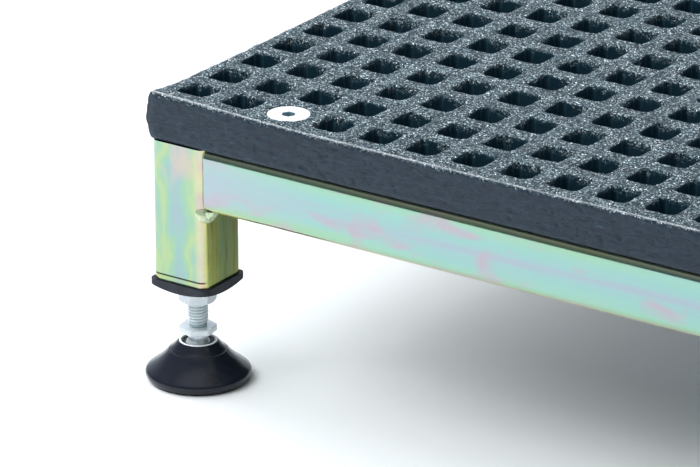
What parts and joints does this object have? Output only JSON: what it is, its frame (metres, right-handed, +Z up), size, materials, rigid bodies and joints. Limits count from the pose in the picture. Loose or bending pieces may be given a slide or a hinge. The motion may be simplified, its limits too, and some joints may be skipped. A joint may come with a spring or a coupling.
{
  "type": "stage riser platform",
  "caption": "Low stage riser with a gritted square-mesh grating deck on a square tube frame, standing on short legs with screw-adjusted ball-jointed levelling feet.",
  "frame": {"origin": "on the floor under the centre of the deck", "axes": "+Z up, +X along the long side, the front at -Y"},
  "size_m": [0.6092, 0.4102, 0.142],
  "materials": {
    "grp_deck": "gritted, charcoal with pale and dark grains; satin blue-black sealed edge",
    "zinc_yellow": "yellow passivated zinc, faintly iridescent",
    "zinc_bright": "bright zinc",
    "ring_steel": "blackened spring steel",
    "insert_plastic": "matte black",
    "foot_plastic": "glossy black",
    "pad_rubber": "matte black"
  },
  "bodies": {
    "platform": {"deck_panel": "grp_deck", "rail_front": "zinc_yellow", "rail_rear": "zinc_yellow", "rail_left": "zinc_yellow", "rail_right": "zinc_yellow", "weld_beads": "zinc_yellow", "deck_screws": "zinc_bright", "rivet_nuts": "zinc_bright", "leg_front_left": "zinc_yellow", "tube_insert_front_left": "insert_plastic", "captive_nut_front_left": "zinc_bright", "leg_front_right": "zinc_yellow", "tube_insert_front_right": "insert_plastic", "captive_nut_front_right": "zinc_bright", "leg_rear_left": "zinc_yellow", "tube_insert_rear_left": "insert_plastic", "captive_nut_rear_left": "zinc_bright", "leg_rear_right": "zinc_yellow", "tube_insert_rear_right": "insert_plastic", "captive_nut_rear_right": "zinc_bright"},
    "lock_nut_front_left": {"lock_nut_front_left": "zinc_bright"},
    "ball_front_left": {"ball_front_left": "zinc_bright"},
    "stud_front_left": {"stud_front_left": "zinc_bright"},
    "ball_ring_front_left": {"ball_ring_front_left": "ring_steel"},
    "foot_front_left": {"foot_base_front_left": "foot_plastic", "foot_pad_front_left": "pad_rubber"},
    "lock_nut_front_right": {"lock_nut_front_right": "zinc_bright"},
    "ball_front_right": {"ball_front_right": "zinc_bright"},
    "stud_front_right": {"stud_front_right": "zinc_bright"},
    "ball_ring_front_right": {"ball_ring_front_right": "ring_steel"},
    "foot_front_right": {"foot_base_front_right": "foot_plastic", "foot_pad_front_right": "pad_rubber"},
    "lock_nut_rear_left": {"lock_nut_rear_left": "zinc_bright"},
    "ball_rear_left": {"ball_rear_left": "zinc_bright"},
    "stud_rear_left": {"stud_rear_left": "zinc_bright"},
    "ball_ring_rear_left": {"ball_ring_rear_left": "ring_steel"},
    "foot_rear_left": {"foot_base_rear_left": "foot_plastic", "foot_pad_rear_left": "pad_rubber"},
    "lock_nut_rear_right": {"lock_nut_rear_right": "zinc_bright"},
    "ball_rear_right": {"ball_rear_right": "zinc_bright"},
    "stud_rear_right": {"stud_rear_right": "zinc_bright"},
    "ball_ring_rear_right": {"ball_ring_rear_right": "ring_steel"},
    "foot_rear_right": {"foot_base_rear_right": "foot_plastic", "foot_pad_rear_right": "pad_rubber"}
  },
  "joints": [
    {"name": "height_front_left", "type": "slide", "parent": "platform", "child": "ball_front_left", "axis": [0, 0, 1], "range_m": [-0.018, 0.011]},
    {"name": "screw_front_left", "type": "hinge", "parent": "ball_front_left", "child": "stud_front_left", "pos_m": [-0.2796, -0.1801, 0.0156], "axis": [0, 0, 1], "range_deg": [-4320, 2640]},
    {"name": "tilt_x_front_left", "type": "hinge", "parent": "ball_front_left", "child": "ball_ring_front_left", "pos_m": [-0.2796, -0.1801, 0.0156], "axis": [1, 0, 0], "range_deg": [-12, 12]},
    {"name": "tilt_y_front_left", "type": "hinge", "parent": "ball_ring_front_left", "child": "foot_front_left", "pos_m": [-0.2796, -0.1801, 0.0156], "axis": [0, 1, 0], "range_deg": [-12, 12]},
    {"name": "lock_nut_front_left", "type": "hinge", "parent": "platform", "child": "lock_nut_front_left", "pos_m": [-0.2796, -0.1801, 0.0422], "axis": [0, 0, 1], "range_deg": [0, 90]},
    {"name": "height_front_right", "type": "slide", "parent": "platform", "child": "ball_front_right", "axis": [0, 0, 1], "range_m": [-0.018, 0.011]},
    {"name": "screw_front_right", "type": "hinge", "parent": "ball_front_right", "child": "stud_front_right", "pos_m": [0.2796, -0.1801, 0.0156], "axis": [0, 0, 1], "range_deg": [-4320, 2640]},
    {"name": "tilt_x_front_right", "type": "hinge", "parent": "ball_front_right", "child": "ball_ring_front_right", "pos_m": [0.2796, -0.1801, 0.0156], "axis": [1, 0, 0], "range_deg": [-12, 12]},
    {"name": "tilt_y_front_right", "type": "hinge", "parent": "ball_ring_front_right", "child": "foot_front_right", "pos_m": [0.2796, -0.1801, 0.0156], "axis": [0, 1, 0], "range_deg": [-12, 12]},
    {"name": "lock_nut_front_right", "type": "hinge", "parent": "platform", "child": "lock_nut_front_right", "pos_m": [0.2796, -0.1801, 0.0422], "axis": [0, 0, 1], "range_deg": [0, 90]},
    {"name": "height_rear_left", "type": "slide", "parent": "platform", "child": "ball_rear_left", "axis": [0, 0, 1], "range_m": [-0.018, 0.011]},
    {"name": "screw_rear_left", "type": "hinge", "parent": "ball_rear_left", "child": "stud_rear_left", "pos_m": [-0.2796, 0.1801, 0.0156], "axis": [0, 0, 1], "range_deg": [-4320, 2640]},
    {"name": "tilt_x_rear_left", "type": "hinge", "parent": "ball_rear_left", "child": "ball_ring_rear_left", "pos_m": [-0.2796, 0.1801, 0.0156], "axis": [1, 0, 0], "range_deg": [-12, 12]},
    {"name": "tilt_y_rear_left", "type": "hinge", "parent": "ball_ring_rear_left", "child": "foot_rear_left", "pos_m": [-0.2796, 0.1801, 0.0156], "axis": [0, 1, 0], "range_deg": [-12, 12]},
    {"name": "lock_nut_rear_left", "type": "hinge", "parent": "platform", "child": "lock_nut_rear_left", "pos_m": [-0.2796, 0.1801, 0.0422], "axis": [0, 0, 1], "range_deg": [0, 90]},
    {"name": "height_rear_right", "type": "slide", "parent": "platform", "child": "ball_rear_right", "axis": [0, 0, 1], "range_m": [-0.018, 0.011]},
    {"name": "screw_rear_right", "type": "hinge", "parent": "ball_rear_right", "child": "stud_rear_right", "pos_m": [0.2796, 0.1801, 0.0156], "axis": [0, 0, 1], "range_deg": [-4320, 2640]},
    {"name": "tilt_x_rear_right", "type": "hinge", "parent": "ball_rear_right", "child": "ball_ring_rear_right", "pos_m": [0.2796, 0.1801, 0.0156], "axis": [1, 0, 0], "range_deg": [-12, 12]},
    {"name": "tilt_y_rear_right", "type": "hinge", "parent": "ball_ring_rear_right", "child": "foot_rear_right", "pos_m": [0.2796, 0.1801, 0.0156], "axis": [0, 1, 0], "range_deg": [-12, 12]},
    {"name": "lock_nut_rear_right", "type": "hinge", "parent": "platform", "child": "lock_nut_rear_right", "pos_m": [0.2796, 0.1801, 0.0422], "axis": [0, 0, 1], "range_deg": [0, 90]}
  ],
  "couplings": [
    {"joint": "screw_front_left", "follows": "height_front_left", "rad_per_m": 4188.8},
    {"joint": "screw_front_right", "follows": "height_front_right", "rad_per_m": 4188.8},
    {"joint": "screw_rear_left", "follows": "height_rear_left", "rad_per_m": 4188.8},
    {"joint": "screw_rear_right", "follows": "height_rear_right", "rad_per_m": 4188.8}
  ]
}
